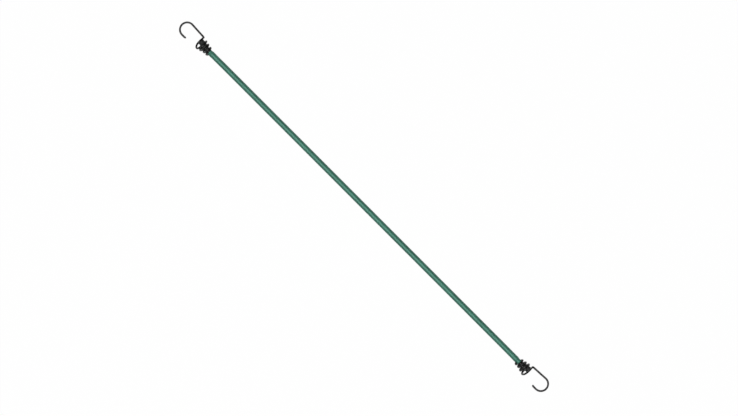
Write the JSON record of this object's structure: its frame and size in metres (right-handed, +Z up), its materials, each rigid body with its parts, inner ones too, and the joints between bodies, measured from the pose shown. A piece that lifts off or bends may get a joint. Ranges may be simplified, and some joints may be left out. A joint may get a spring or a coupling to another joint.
{
  "type": "bungee cord",
  "caption": "Elastic luggage cord: latex strands in a green braided jacket, with a coiled black wire hook on each end, lying straight and relaxed.",
  "frame": {"origin": "on the surface that the cord lies on, below its middle, halfway between the two hooks", "axes": "+X along the cord, from hook a to hook b; +Y to the side of the hooks' shanks, so both hooks open towards -Y; +Z up from the surface"},
  "size_m": [0.7996, 0.025, 0.021],
  "materials": {
    "green_braid": "matt braided polyester",
    "latex": "natural latex",
    "cap_plastic": "moulded, slightly worn",
    "band_steel": "zinc plated strip",
    "coated_wire": "black dipped coating, semi-gloss"
  },
  "bodies": {
    "cord": {"jacket": "green_braid", "core_strand_01": "latex", "core_strand_02": "latex", "core_strand_03": "latex", "core_strand_04": "latex", "core_strand_05": "latex", "core_strand_06": "latex", "core_strand_07": "latex", "core_strand_08": "latex", "core_strand_09": "latex", "core_strand_10": "latex", "core_strand_11": "latex", "core_strand_12": "latex", "core_strand_13": "latex", "core_strand_14": "latex", "core_strand_15": "latex", "core_strand_16": "latex", "core_strand_17": "latex", "core_strand_18": "latex", "core_strand_19": "latex", "end_cap_a": "cap_plastic", "crimp_band_a": "band_steel"},
    "far_end": {"end_cap_b": "cap_plastic", "crimp_band_b": "band_steel"},
    "hook_a": {"hook_a": "coated_wire"},
    "hook_b": {"hook_b": "coated_wire"}
  },
  "joints": [
    {"name": "cord_stretch", "type": "slide", "parent": "cord", "child": "far_end", "axis": [1, 0, 0], "range_m": [0, 0.4], "stiffness_N_per_m": 150, "deforming": ["jacket", "core_strand_01", "core_strand_02", "core_strand_03", "core_strand_04", "core_strand_05", "core_strand_06", "core_strand_07", "core_strand_08", "core_strand_09", "core_strand_10", "core_strand_11", "core_strand_12", "core_strand_13", "core_strand_14", "core_strand_15", "core_strand_16", "core_strand_17", "core_strand_18", "core_strand_19"]},
    {"name": "hook_a_swivel", "type": "hinge", "parent": "cord", "child": "hook_a", "pos_m": [-0.3613, 0, 0.00991], "axis": [1, 0, 0], "continuous": true},
    {"name": "hook_b_swivel", "type": "hinge", "parent": "far_end", "child": "hook_b", "pos_m": [0.3608, 0, 0.01062], "axis": [1, 0, 0], "continuous": true}
  ]
}
